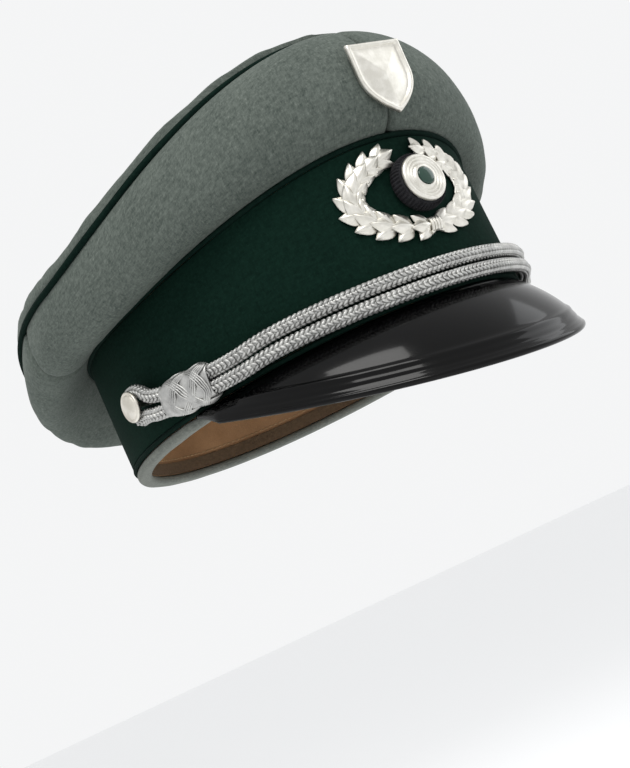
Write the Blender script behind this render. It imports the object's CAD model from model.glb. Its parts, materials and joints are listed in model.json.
"""A military peaked cap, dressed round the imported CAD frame.

The classes hold their sizes in millimetres, as a cap maker's sheet would, and MM turns them into
metres when a mesh is made. +Z is up, -Y is the wearer's front and -X the wearer's right.
"""

import json
import logging
import math
from dataclasses import dataclass
from enum import Enum
from typing import Callable, Sequence

import bmesh
import bpy
from mathutils import Matrix, Vector, noise

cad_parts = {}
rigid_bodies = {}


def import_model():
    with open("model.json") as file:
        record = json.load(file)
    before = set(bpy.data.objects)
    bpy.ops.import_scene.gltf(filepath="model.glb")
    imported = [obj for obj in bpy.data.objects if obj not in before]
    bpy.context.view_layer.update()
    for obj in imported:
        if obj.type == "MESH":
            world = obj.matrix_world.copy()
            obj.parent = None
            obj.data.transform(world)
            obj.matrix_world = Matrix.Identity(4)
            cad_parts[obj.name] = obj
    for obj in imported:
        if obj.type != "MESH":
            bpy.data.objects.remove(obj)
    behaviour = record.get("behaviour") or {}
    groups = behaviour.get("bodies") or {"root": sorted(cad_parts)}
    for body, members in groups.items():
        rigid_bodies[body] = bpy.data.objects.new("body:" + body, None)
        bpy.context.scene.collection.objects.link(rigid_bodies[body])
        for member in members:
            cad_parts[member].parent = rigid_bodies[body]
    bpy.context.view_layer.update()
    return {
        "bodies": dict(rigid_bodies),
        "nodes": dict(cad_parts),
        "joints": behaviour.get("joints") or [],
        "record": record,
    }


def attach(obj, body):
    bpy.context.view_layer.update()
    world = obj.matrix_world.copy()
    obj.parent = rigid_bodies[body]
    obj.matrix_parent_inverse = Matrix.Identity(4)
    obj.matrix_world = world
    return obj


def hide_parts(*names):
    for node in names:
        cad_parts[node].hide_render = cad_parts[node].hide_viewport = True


MM = 0.001
LOG = logging.getLogger("peaked cap")

Point = tuple[float, float, float]
Colour = tuple[float, float, float]


# ---- Node trees ---------------------------------------------------------------------------
@dataclass(frozen=True)
class Wire:
    """One output socket, on which sums are written as Python expressions."""

    nodes: "Nodes"
    socket: bpy.types.NodeSocket

    def maths(self, operation: str, *values: "Wire | float") -> "Wire":
        """Adds a Math node.

        Args:
            operation: The Math node's operation.
            values: Its sockets, in order.

        Returns:
            The node's result.
        """
        return self.nodes.add("ShaderNodeMath", {"operation": operation}, dict(enumerate(values))).out()

    def __add__(self, other: "Wire | float") -> "Wire":
        """Sum."""
        return self.maths("ADD", self, other)

    __radd__ = __add__

    def __sub__(self, other: "Wire | float") -> "Wire":
        """Difference."""
        return self.maths("SUBTRACT", self, other)

    def __rsub__(self, other: float) -> "Wire":
        """Difference, the other way round."""
        return self.maths("SUBTRACT", other, self)

    def __mul__(self, other: "Wire | float") -> "Wire":
        """Product."""
        return self.maths("MULTIPLY", self, other)

    __rmul__ = __mul__

    def __truediv__(self, other: "Wire | float") -> "Wire":
        """Quotient."""
        return self.maths("DIVIDE", self, other)

    def __abs__(self) -> "Wire":
        """Size without its sign."""
        return self.maths("ABSOLUTE", self)

    def sine(self) -> "Wire":
        """Sine of the value in radians."""
        return self.maths("SINE", self)

    def limited(self) -> "Wire":
        """Value kept between 0 and 1."""
        return self.maths("MINIMUM", self.maths("MAXIMUM", self, 0.0), 1.0)


@dataclass(frozen=True)
class Added:
    """A node just added to a tree."""

    nodes: "Nodes"
    node: bpy.types.Node

    def out(self, key: "int | str" = 0) -> Wire:
        """One of the node's outputs, by number or name."""
        return Wire(self.nodes, self.node.outputs[key])


class Nodes:
    """Adds nodes to one shader or geometry tree."""

    def __init__(self, tree: bpy.types.NodeTree) -> None:
        """Args:
            tree: The tree that the nodes go into.
        """
        self.tree = tree

    def add(self, kind: str, settings: "dict | None" = None, values: "dict | None" = None) -> Added:
        """Adds a node, then its settings, then its sockets.

        Args:
            kind: The node's type.
            settings: Attributes of the node.
            values: Numbers, vectors, colours or wires, by socket number or name.

        Returns:
            The node.
        """
        node = self.tree.nodes.new(kind)
        for key, value in (settings or {}).items():
            setattr(node, key, value)
        for key, value in (values or {}).items():
            if isinstance(value, Wire):
                self.tree.links.new(value.socket, node.inputs[key])
            else:
                node.inputs[key].default_value = value
        return Added(self, node)

    def scaled(self, vector: Wire, scale: Sequence[float]) -> Wire:
        """A vector stretched differently along its axes."""
        return self.add("ShaderNodeVectorMath", {"operation": "MULTIPLY"}, {0: vector, 1: scale}).out()

    def mix(self, factor: "Wire | float", first: "Wire | Colour", second: "Wire | Colour") -> Wire:
        """Mixes two colours.

        Args:
            factor: Share of the second colour.
            first: A colour or a wire of one.
            second: A colour or a wire of one.

        Returns:
            The mixed colour.
        """
        first, second = (c if isinstance(c, Wire) else (*c, 1.0) for c in (first, second))
        settings = {"data_type": "RGBA", "clamp_factor": True}
        return self.add("ShaderNodeMix", settings, {0: factor, 6: first, 7: second}).out(2)

    def noise(self, place: Wire, per_mm: float, detail: float = 3.0, rough: float = 0.6) -> Wire:
        """Noise from 0 to 1 on a place in metres, with so many lumps to the millimetre."""
        return self.add("ShaderNodeTexNoise", {}, {"Vector": place, "Scale": per_mm / MM, "Detail": detail,
                                                   "Roughness": rough}).out(0)


class Recipe:
    """A Geometry Nodes tree with named sizes, run on a piece and made into a plain mesh."""

    def __init__(self, name: str, **sizes: float) -> None:
        """Args:
            name: The tree's name.
            sizes: Named inputs and what they usually are, lengths in metres.
        """
        self.tree = bpy.data.node_groups.new(name, "GeometryNodeTree")
        self.nodes = Nodes(self.tree)
        face = self.tree.interface
        face.new_socket("Geometry", in_out="INPUT", socket_type="NodeSocketGeometry")
        face.new_socket("Geometry", in_out="OUTPUT", socket_type="NodeSocketGeometry")
        self.keys: dict[str, str] = {}
        for label, size in sizes.items():
            socket = face.new_socket(label, in_out="INPUT", socket_type="NodeSocketFloat")
            socket.default_value = size
            self.keys[label] = socket.identifier
        finish = face.new_socket("Finish", in_out="INPUT", socket_type="NodeSocketMaterial")
        self.keys["Finish"] = finish.identifier
        self.given = self.nodes.add("NodeGroupInput")

    def close(self, shape: Wire) -> None:
        """Ends the tree: real meshes, smooth shading and the finish."""
        real = self.nodes.add("GeometryNodeRealizeInstances", {}, {0: shape}).out()
        smooth = self.nodes.add("GeometryNodeSetShadeSmooth", {}, {0: real}).out()
        dressed = self.nodes.add("GeometryNodeSetMaterial", {},
                                 {"Geometry": smooth, "Material": self.given.out("Finish")}).out()
        self.nodes.add("NodeGroupOutput", {}, {0: dressed})

    def run(self, piece: bpy.types.Object, finish: bpy.types.Material, **sizes: float) -> bpy.types.Object:
        """Turns the piece's mesh into the tree's result.

        Args:
            piece: A piece whose mesh is the tree's input.
            finish: The finish that the result takes.
            sizes: Named inputs that differ from the usual.

        Returns:
            The same piece, with a plain mesh and no modifier.
        """
        modifier = piece.modifiers.new(self.tree.name, "NODES")
        modifier.node_group = self.tree
        for label, value in {**sizes, "Finish": finish}.items():
            modifier[self.keys[label]] = value
        return settled(piece)


# ---- Finishes -----------------------------------------------------------------------------
class Weave(Enum):
    """How a cloth's face looks close up."""

    TWILL = "twill"
    FELT = "felt"
    PLAIN = "plain"
    SATIN = "satin"


@dataclass(frozen=True)
class Finish:
    """A finish; each kind builds its own shader."""

    name: str

    def material(self) -> bpy.types.Material:
        """The finish's material, made once."""
        made = bpy.data.materials.get(f"finish_{self.name}")
        if made is None:
            made = bpy.data.materials.new(f"finish_{self.name}")
            made.use_nodes = True
            made.node_tree.nodes.clear()
            nodes = Nodes(made.node_tree)
            shader = nodes.add("ShaderNodeBsdfPrincipled", {}, self.constants())
            for key, wire in self.patterns(nodes).items():
                nodes.tree.links.new(wire.socket, shader.node.inputs[key])
            nodes.add("ShaderNodeOutputMaterial", {}, {"Surface": shader.out("BSDF")})
        return made

    def constants(self) -> dict:
        """Values that are the same all over, set on the shader's own sockets."""
        return {}

    def patterns(self, nodes: Nodes) -> dict[str, Wire]:
        """What changes over the surface, by shader socket."""
        raise NotImplementedError

    @staticmethod
    def place(nodes: Nodes) -> Wire:
        """Object coordinates in metres."""
        return nodes.add("ShaderNodeTexCoord").out("Object")

    @staticmethod
    def cut(nodes: Nodes) -> Wire:
        """The piece's own UV map, whose unit is a metre of cloth."""
        return nodes.add("ShaderNodeUVMap", {"uv_map": "cut"}).out(0)

    @staticmethod
    def bumped(nodes: Nodes, height: Wire, depth: float) -> Wire:
        """A normal bent by a height from 0 to 1 that stands for so many millimetres."""
        return nodes.add("ShaderNodeBump", {}, {"Strength": 1.0, "Distance": depth * MM,
                                                "Height": height}).out()


@dataclass(frozen=True)
class Cloth(Finish):
    """Woven or felted cloth of mixed fibres."""

    dark: Colour
    light: Colour
    fleck: Colour
    weave: Weave = Weave.FELT
    thread: float = 0.6
    depth: float = 0.12
    nap: float = 0.25
    sheen: float = 0.2
    roughness: float = 0.9
    by_cut: bool = True

    def constants(self) -> dict:
        """Sheen of the nap."""
        return {"Sheen Weight": self.nap, "Sheen Roughness": 0.55, "Sheen Tint": (*self.light, 1.0),
                "Specular IOR Level": self.sheen}

    def threads(self, nodes: Nodes, place: Wire) -> Wire:
        """Height of the weave from 0 to 1."""
        turn = 2 * math.pi / (self.thread * MM)
        axes = nodes.add("ShaderNodeSeparateXYZ", {}, {0: place})
        u, v = axes.out(0), axes.out(1)
        wobble = nodes.noise(place, 0.5, 2.0) * 2.0
        if self.weave is Weave.TWILL:
            return ((u + v * 0.8) * turn + wobble).sine() * 0.5 + 0.5
        if self.weave is Weave.SATIN:
            return (v * turn + wobble * 2.0).sine() * 0.5 + 0.5
        across, along = (u * turn + wobble).sine(), (v * turn + wobble).sine()
        return across * along * 0.5 + 0.5

    def patterns(self, nodes: Nodes) -> dict[str, Wire]:
        """Heathered colour, uneven roughness, and fibres and threads in relief."""
        place = self.cut(nodes) if self.by_cut else self.place(nodes)
        fibres = nodes.noise(nodes.scaled(place, (1.0, 0.35, 1.0)), 1.5, 4.0, 0.75)
        crossing = nodes.noise(nodes.scaled(place, (0.3, 1.0, 1.0)), 1.2, 4.0, 0.75)
        mottle = nodes.noise(place, 0.04, 3.0, 0.6)
        tufts = nodes.noise(place, 0.45, 3.0, 0.7)
        specks = nodes.noise(place, 0.9, 2.0, 0.6)
        blend = ((fibres + crossing) * 1.3 - 0.82 + (mottle - 0.5) * 0.5 + (tufts - 0.5) * 1.1).limited()
        colour = nodes.mix(blend, self.dark, self.light)
        colour = nodes.mix(((specks - 0.6) * 5.0).limited() * 0.35, colour, self.fleck)
        relief = fibres * 0.55 + crossing * 0.45
        if self.weave is not Weave.FELT:
            relief = relief * 0.45 + self.threads(nodes, place) * 0.55
        rough = (fibres * 0.16 + (self.roughness - 0.08)).limited()
        return {"Base Color": colour, "Roughness": rough, "Normal": self.bumped(nodes, relief, self.depth)}


@dataclass(frozen=True)
class Metal(Finish):
    """Bare or frosted metal, dulled where it has been handled."""

    bright: Colour
    dull: Colour
    roughness: float = 0.35
    grain: float = 1.2
    depth: float = 0.03

    def constants(self) -> dict:
        """Metal all through."""
        return {"Metallic": 1.0}

    def patterns(self, nodes: Nodes) -> dict[str, Wire]:
        """Fine grain with dull clouds."""
        place = self.place(nodes)
        clouds = nodes.noise(place, 0.22, 4.0, 0.65)
        grain = nodes.noise(place, self.grain, 2.0, 0.7)
        worn = ((clouds - 0.42) * 3.0).limited()
        rough = (grain * 0.14 + clouds * 0.16 + (self.roughness - 0.14)).limited()
        return {"Base Color": nodes.mix(worn, self.dull, self.bright), "Roughness": rough,
                "Normal": self.bumped(nodes, grain, self.depth)}


@dataclass(frozen=True)
class Lacquer(Finish):
    """Lacquer, enamel or clear sheet over a coloured ground."""

    ground: Colour
    rubbed: Colour
    roughness: float = 0.12
    coat: float = 1.0
    ripple: float = 0.05
    alpha: float = 1.0

    def constants(self) -> dict:
        """The coat and how clear the sheet is."""
        return {"Coat Weight": self.coat, "Coat Roughness": 0.08, "Alpha": self.alpha,
                "Specular IOR Level": 0.05}

    def patterns(self, nodes: Nodes) -> dict[str, Wire]:
        """Slow ripples, faint rubbing and fine scuffs."""
        place = self.place(nodes)
        slow = nodes.noise(place, 0.035, 2.0, 0.5)
        scuffs = nodes.noise(nodes.scaled(place, (1.0, 0.25, 1.0)), 0.7, 5.0, 0.7)
        rubbed = ((scuffs - 0.56) * 4.0).limited() * 0.5
        rough = (scuffs * 0.10 + slow * 0.06 + (self.roughness - 0.06)).limited()
        height = slow * 0.9 + scuffs * 0.02
        return {"Base Color": nodes.mix(rubbed, self.ground, self.rubbed), "Roughness": rough,
                "Normal": self.bumped(nodes, height, self.ripple * 10)}


@dataclass(frozen=True)
class Leather(Finish):
    """Thin leather with fine pores and darker creases."""

    dark: Colour
    light: Colour
    roughness: float = 0.5

    def constants(self) -> dict:
        """A little polish."""
        return {"Specular IOR Level": 0.4}

    def patterns(self, nodes: Nodes) -> dict[str, Wire]:
        """Pores, handling stains and creases."""
        place = self.place(nodes)
        cells = nodes.add("ShaderNodeTexVoronoi", {"feature": "DISTANCE_TO_EDGE"},
                          {"Vector": place, "Scale": 0.9 / MM}).out("Distance")
        pores = (cells * 4.0).limited()
        stain = nodes.noise(place, 0.05, 4.0, 0.6)
        fine = nodes.noise(place, 1.4, 3.0, 0.6)
        colour = nodes.mix((stain * 1.3 - 0.15 + pores * 0.12).limited(), self.dark, self.light)
        rough = (self.roughness - 0.1 + fine * 0.2).limited()
        return {"Base Color": colour, "Roughness": rough,
                "Normal": self.bumped(nodes, pores * 0.6 + fine * 0.4, 0.06)}


CROWN_WOOL = Cloth("crown_wool", (0.034, 0.045, 0.039), (0.128, 0.148, 0.131), (0.23, 0.25, 0.22),
                   Weave.FELT, depth=0.25, nap=0.22)
HEM_WOOL = Cloth("hem_wool", (0.085, 0.095, 0.085), (0.18, 0.19, 0.17), (0.3, 0.3, 0.27), depth=0.2)
BAND_WOOL = Cloth("band_wool", (0.0012, 0.0075, 0.005), (0.0045, 0.0185, 0.0125), (0.012, 0.03, 0.022),
                  Weave.FELT, depth=0.15, nap=0.05, sheen=0.05)
PIPING_WOOL = Cloth("piping_wool", (0.0012, 0.006, 0.0045), (0.004, 0.014, 0.010), (0.012, 0.026, 0.02),
                    Weave.TWILL, thread=0.7, depth=0.12, nap=0.05, sheen=0.05, by_cut=False)
BUCKRAM = Cloth("buckram", (0.36, 0.32, 0.24), (0.58, 0.53, 0.42), (0.66, 0.62, 0.5), Weave.PLAIN, 1.1,
                nap=0.1, by_cut=False)
WADDING = Cloth("wadding", (0.52, 0.49, 0.43), (0.75, 0.72, 0.66), (0.85, 0.83, 0.78), depth=0.5, nap=0.5,
                by_cut=False)
TAPE = Cloth("tape", (0.055, 0.035, 0.02), (0.12, 0.08, 0.048), (0.2, 0.15, 0.1), Weave.PLAIN, 0.7,
             by_cut=False)
SATIN = Cloth("satin", (0.16, 0.105, 0.05), (0.30, 0.21, 0.11), (0.38, 0.28, 0.16), Weave.SATIN, 0.5,
              depth=0.05, nap=0.5, roughness=0.48)
PAD_CLOTH = Cloth("pad_cloth", (0.006, 0.006, 0.007), (0.022, 0.022, 0.025), (0.07, 0.07, 0.075),
                  depth=0.1, nap=0.2, by_cut=False)
THREAD = Cloth("thread", (0.22, 0.14, 0.07), (0.42, 0.29, 0.16), (0.5, 0.38, 0.24), depth=0.05, by_cut=False)
SWEAT_LEATHER = Leather("sweat_leather", (0.15, 0.075, 0.03), (0.36, 0.205, 0.1))
PEAK_LACQUER = Lacquer("peak_lacquer", (0.0008, 0.0008, 0.0009), (0.003, 0.003, 0.0035), 0.16, 0.24, 0.03)
PEAK_LINING = Cloth("peak_lining", (0.006, 0.010, 0.008), (0.02, 0.026, 0.022), (0.04, 0.05, 0.045),
                    Weave.PLAIN, 1.2, nap=0.1, roughness=0.7, by_cut=False)
CLEAR_SHEET = Lacquer("clear_sheet", (0.62, 0.52, 0.3), (0.75, 0.68, 0.5), 0.12, 1.0, 0.08, 0.28)
ENAMEL = Lacquer("enamel", (0.006, 0.035, 0.022), (0.02, 0.07, 0.045), 0.1)
WIRE = Metal("wire_cord", (0.62, 0.62, 0.60), (0.40, 0.40, 0.39), 0.5, 2.0, 0.05)
BUTTON_METAL = Metal("button_metal", (0.85, 0.82, 0.76), (0.62, 0.59, 0.52), 0.45, 2.2, 0.06)
BADGE_METAL = Metal("badge_metal", (0.83, 0.81, 0.76), (0.66, 0.64, 0.58), 0.42, 1.6, 0.04)
SPRING_STEEL = Metal("spring_steel", (0.3, 0.31, 0.34), (0.1, 0.1, 0.12), 0.3)
BRASS = Metal("brass", (0.72, 0.52, 0.2), (0.4, 0.27, 0.1), 0.32)


# ---- Shapes that the pieces share ---------------------------------------------------------
def smooth(value: float, low: float, high: float) -> float:
    """Passes from 0 at low to 1 at high without a corner."""
    t = min(1.0, max(0.0, (value - low) / (high - low)))
    return t * t * (3 - 2 * t)


def squared(value: float, power: float) -> float:
    """A sine or cosine pushed outwards, which squares a circle's corners when power is under 1."""
    return math.copysign(abs(value) ** power, value)


def ripple(x: float, y: float, z: float, lump: float, seed: float = 0.0) -> float:
    """Soft noise from about -1 to 1 whose lumps are so many millimetres wide."""
    return noise.noise(Vector((x, y, z)) / lump + Vector((seed, seed * 2.3, -seed)))


@dataclass(frozen=True)
class CapForm:
    """The outlines that every piece is cut to, the same as the CAD's."""

    half_width: float = 83.5
    half_length: float = 104.0
    band_height: float = 47.0
    front_rise: float = 14.0
    crown_half_width: float = 107.0
    crown_front: float = 94.0
    crown_rear: float = 140.0
    edge_front: float = 111.0
    edge_side: float = 68.0
    edge_rear: float = 43.0

    def band(self, angle: float, offset: float = 0.0) -> tuple[float, float, float, float]:
        """Point on the band's oval and the outward normal there.

        Args:
            angle: Degrees round the band, 0 at the front and positive to the wearer's left.
            offset: Distance outwards from the band cloth.

        Returns:
            x, y and the normal's x and y.
        """
        t = math.radians(angle)
        nx, ny = math.sin(t) / self.half_width, -math.cos(t) / self.half_length
        size = math.hypot(nx, ny)
        nx, ny = nx / size, ny / size
        return (self.half_width * math.sin(t) + nx * offset,
                -self.half_length * math.cos(t) + ny * offset, nx, ny)

    def band_top(self, y: float) -> float:
        """Height of the band's upper edge."""
        return self.band_height + (self.front_rise * (y / self.half_length) ** 2 if y < 0 else 0.0)

    def crown_depth(self, y: float) -> float:
        """Half length of the crown's outline in front of or behind the origin."""
        return self.crown_front if y < 0 else self.crown_rear

    def edge_z(self, y: float) -> float:
        """Height of the crown's edge."""
        end = self.edge_front if y < 0 else self.edge_rear
        return self.edge_side + (end - self.edge_side) * (y / self.crown_depth(y)) ** 2

    def reach(self, angle: float) -> float:
        """Distance from the band out to the crown's edge."""
        x, y, nx, ny = self.band(angle)
        wide, deep = self.crown_half_width, self.crown_depth(y)
        a = (nx / wide) ** 2 + (ny / deep) ** 2
        b = 2 * (x * nx / wide ** 2 + y * ny / deep ** 2)
        c = (x / wide) ** 2 + (y / deep) ** 2 - 1
        return (-b + math.sqrt(b * b - 4 * a * c)) / (2 * a)

    def side(self, angle: float, k: float) -> tuple[float, float, float, float]:
        """Point on the crown's side: distance out, height, and the outward normal in that section."""
        _, y, _, ny = self.band(angle)
        reach = self.reach(angle)
        edge, seam = self.edge_z(y + ny * reach), self.band_top(y)
        share = math.cos(math.radians(angle)) ** 2
        front = math.cos(math.radians(angle)) > 0

        def eased(at_front: float, at_side: float, at_rear: float) -> float:
            """Value between those at the front, the side and the rear."""
            return at_side + ((at_front if front else at_rear) - at_side) * share

        points = ((0.3, seam + 1.9),
                  (eased(20.0, 17.5, 36.0), seam - eased(-14.5, 12.0, 21.0)),
                  (reach + eased(19.0, 4.5, 12.0), edge - eased(-1.0, 22.0, 24.5)),
                  (reach - 0.7, edge - 0.9))
        weights = ((1 - k) ** 3, 3 * k * (1 - k) ** 2, 3 * k * k * (1 - k), k ** 3)
        slopes = (3 * (1 - k) ** 2, 6 * k * (1 - k), 3 * k * k)
        out, up = (sum(w * p[i] for w, p in zip(weights, points)) for i in (0, 1))
        legs = [(q[0] - p[0], q[1] - p[1]) for p, q in zip(points, points[1:])]
        d_out, d_up = (sum(w * leg[i] for w, leg in zip(slopes, legs)) for i in (0, 1))
        size = math.hypot(d_out, d_up)
        return out, up, d_up / size, -d_out / size

    def on_side(self, angle: float, k: float, lift: float = 0.0) -> Point:
        """Point on the crown's side, lifted off it."""
        out, up, n_out, n_up = self.side(angle, k)
        x, y, _, _ = self.band(angle, out + n_out * lift)
        return x, y, up + n_up * lift

    def wrapped(self, across: float, up: float, out: float) -> Point:
        """A flat badge's point laid on the front of the band, across measured along the cloth."""
        x, y, _, _ = self.band(math.degrees(across / self.half_width), out)
        return x, y, up


FORM = CapForm()


def new_piece(name: str, mesh: bpy.types.Mesh) -> bpy.types.Object:
    """An object for a mesh, linked to the scene."""
    piece = bpy.data.objects.new(name, mesh)
    bpy.context.scene.collection.objects.link(piece)
    return piece


def grid_piece(name: str, rows: Sequence[Sequence[Point]], wrap_u: bool = False, wrap_v: bool = False,
               caps: bool = False, finish: "Finish | None" = None) -> bpy.types.Object:
    """A piece made of a grid of points, with a UV map in metres of cloth.

    Args:
        name: The piece's name.
        rows: Rows of points in millimetres; u runs along a row and v from row to row.
        wrap_u: Joins each row's end to its start.
        wrap_v: Joins the last row to the first.
        caps: Closes the first and the last row with a face.
        finish: The finish of the whole piece.

    Returns:
        The piece, smooth shaded, with its faces pointing outwards where it is closed.
    """
    high, wide = len(rows), len(rows[0])
    verts = [tuple(c * MM for c in p) for row in rows for p in row]
    faces, corners = [], []
    length = [0.0]
    middle = rows[high // 2]
    for a, b in zip(middle, list(middle[1:]) + [middle[0]]):
        length.append(length[-1] + math.dist(a, b) * MM)
    height = [0.0]
    for j in range(high):
        height.append(height[-1] + math.dist(rows[j][wide // 2], rows[(j + 1) % high][wide // 2]) * MM)
    for j in range(high if wrap_v else high - 1):
        for i in range(wide if wrap_u else wide - 1):
            i2, j2 = (i + 1) % wide, (j + 1) % high
            faces.append((j * wide + i, j * wide + i2, j2 * wide + i2, j2 * wide + i))
            corners += [(length[i], height[j]), (length[i + 1], height[j]),
                        (length[i + 1], height[j + 1]), (length[i], height[j + 1])]
    if caps:
        faces += [tuple(range(wide))[::-1], tuple(range((high - 1) * wide, high * wide))]
        corners += [(length[i], 0.0) for i in range(wide)] * 2
    mesh = bpy.data.meshes.new(name)
    mesh.from_pydata(verts, [], faces)
    mesh.shade_smooth()
    layer = mesh.uv_layers.new(name="cut")
    for loop, corner in zip(layer.uv, corners):
        loop.vector = corner
    if finish:
        mesh.materials.append(finish.material())
    piece = new_piece(name, mesh)
    if wrap_v or caps:
        face_outwards(piece)
    return piece


def face_outwards(piece: bpy.types.Object) -> None:
    """Turns a closed mesh's faces to point outwards."""
    build = bmesh.new()
    build.from_mesh(piece.data)
    bmesh.ops.recalc_face_normals(build, faces=build.faces[:])
    if build.calc_volume(signed=True) < 0:
        bmesh.ops.reverse_faces(build, faces=build.faces[:])
    build.to_mesh(piece.data)
    build.free()


def face_away(piece: bpy.types.Object, away: Callable[[Vector], Vector]) -> None:
    """Turns an open sheet's faces to the side that away gives for a place."""
    if sum(face.normal.dot(away(face.center)) for face in piece.data.polygons) < 0:
        piece.data.flip_normals()


def settled(piece: bpy.types.Object) -> bpy.types.Object:
    """Makes a piece's live modifiers part of its mesh."""
    graph = bpy.context.evaluated_depsgraph_get()
    graph.update()
    mesh = bpy.data.meshes.new_from_object(piece.evaluated_get(graph), preserve_all_data_layers=True,
                                           depsgraph=graph)
    piece.modifiers.clear()
    piece.data = mesh
    return piece


def thickened(piece: bpy.types.Object, thickness: float, offset: float = -1.0) -> bpy.types.Object:
    """Gives a cloth sheet its thickness, inwards by default."""
    wall = piece.modifiers.new("cloth thickness", "SOLIDIFY")
    wall.thickness = thickness * MM
    wall.offset = offset
    wall.use_even_offset = False
    return settled(piece)


def ring_piece(name: str, section: Callable[[float], Sequence[tuple[float, float]]], finish: Finish,
               steps: int = 240) -> bpy.types.Object:
    """A closed ring round the band.

    Args:
        name: The piece's name.
        section: The closed outline (offset from the band cloth, height) at an angle.
        finish: The ring's finish.
        steps: Sections round the band.

    Returns:
        The ring.
    """
    columns = []
    for step in range(steps):
        angle = 360.0 * step / steps
        angle = angle - 360.0 if angle > 180.0 else angle
        columns.append([(*FORM.band(angle, offset)[:2], z) for offset, z in section(angle)])
    rows = [list(row) for row in zip(*columns)]
    return grid_piece(name, rows, wrap_u=True, wrap_v=True, finish=finish)


def rounded(low_out: float, low_z: float, high_out: float, high_z: float, radius: float,
            turns: int = 4, straights: int = 6) -> list[tuple[float, float]]:
    """Outline of a rounded rectangle, for a ring's section."""
    corners = ((high_out - radius, high_z - radius, 0), (low_out + radius, high_z - radius, 90),
               (low_out + radius, low_z + radius, 180), (high_out - radius, low_z + radius, 270))
    outline: list[tuple[float, float]] = []
    for number, (cx, cz, start) in enumerate(corners):
        arc = [(cx + radius * math.cos(math.radians(start + 90 * i / turns)),
                cz + radius * math.sin(math.radians(start + 90 * i / turns))) for i in range(turns + 1)]
        outline += arc
        after = corners[(number + 1) % 4]
        ahead = (after[0] + radius * math.cos(math.radians(after[2])),
                 after[1] + radius * math.sin(math.radians(after[2])))
        for i in range(1, straights):
            outline.append((arc[-1][0] + (ahead[0] - arc[-1][0]) * i / straights,
                            arc[-1][1] + (ahead[1] - arc[-1][1]) * i / straights))
    return outline


def path_piece(name: str, points: Sequence[Point], closed: bool = False) -> bpy.types.Object:
    """A bare line of edges, which a recipe turns into a solid piece."""
    mesh = bpy.data.meshes.new(name)
    count = len(points)
    edges = [(i, i + 1) for i in range(count - 1)] + ([(count - 1, 0)] if closed else [])
    mesh.from_pydata([tuple(c * MM for c in p) for p in points], edges, [])
    return new_piece(name, mesh)


def spline_points(route: Sequence[Point], closed: bool, resolution: int = 12) -> list[Point]:
    """Points along the smooth line whose control points are a route's, as Blender evaluates it."""
    curve = bpy.data.curves.new("route", "CURVE")
    curve.dimensions = "3D"
    curve.resolution_u = resolution
    spline = curve.splines.new("NURBS")
    spline.points.add(len(route) - 1)
    for point, place in zip(spline.points, route):
        point.co = (*(c * MM for c in place), 1.0)
    spline.order_u = 3
    spline.use_cyclic_u = closed
    spline.use_endpoint_u = not closed
    holder = new_piece("route", curve)
    graph = bpy.context.evaluated_depsgraph_get()
    mesh = bpy.data.meshes.new_from_object(holder.evaluated_get(graph))
    places = [tuple(c / MM for c in v.co) for v in mesh.vertices]
    bpy.data.objects.remove(holder)
    bpy.data.meshes.remove(mesh)
    return places


# ---- Recipes ------------------------------------------------------------------------------
def piping_recipe() -> Recipe:
    """Round corded piping along a line."""
    recipe = Recipe("corded piping", Radius=1.1 * MM, Step=2.0 * MM, Sides=12.0)
    nodes, given = recipe.nodes, recipe.given
    line = nodes.add("GeometryNodeMeshToCurve", {}, {0: given.out("Geometry")}).out()
    line = nodes.add("GeometryNodeResampleCurve", {"mode": "LENGTH"}, {"Curve": line,
                                                                       "Length": given.out("Step")}).out()
    ring = nodes.add("GeometryNodeCurvePrimitiveCircle", {}, {"Resolution": given.out("Sides"),
                                                              "Radius": given.out("Radius")}).out()
    recipe.close(nodes.add("GeometryNodeCurveToMesh", {}, {"Curve": line, "Profile Curve": ring,
                                                           "Fill Caps": True}).out())
    return recipe


def stitch_recipe() -> Recipe:
    """A row of stitches along a line, each a short rounded thread."""
    recipe = Recipe("row of stitches", Pitch=2.6 * MM, Length=1.0 * MM, Width=0.3 * MM)
    nodes, given = recipe.nodes, recipe.given
    line = nodes.add("GeometryNodeMeshToCurve", {}, {0: given.out("Geometry")}).out()
    places = nodes.add("GeometryNodeCurveToPoints", {"mode": "LENGTH"}, {"Curve": line,
                                                                         "Length": given.out("Pitch")})
    bead = nodes.add("GeometryNodeMeshUVSphere", {}, {"Segments": 6, "Rings": 5, "Radius": 1.0}).out()
    size = nodes.add("ShaderNodeCombineXYZ", {}, {0: given.out("Width"), 1: given.out("Width"),
                                                  2: given.out("Length")}).out()
    recipe.close(nodes.add("GeometryNodeInstanceOnPoints", {}, {
        "Points": places.out("Points"), "Instance": bead, "Rotation": places.out("Rotation"),
        "Scale": size}).out())
    return recipe


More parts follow.
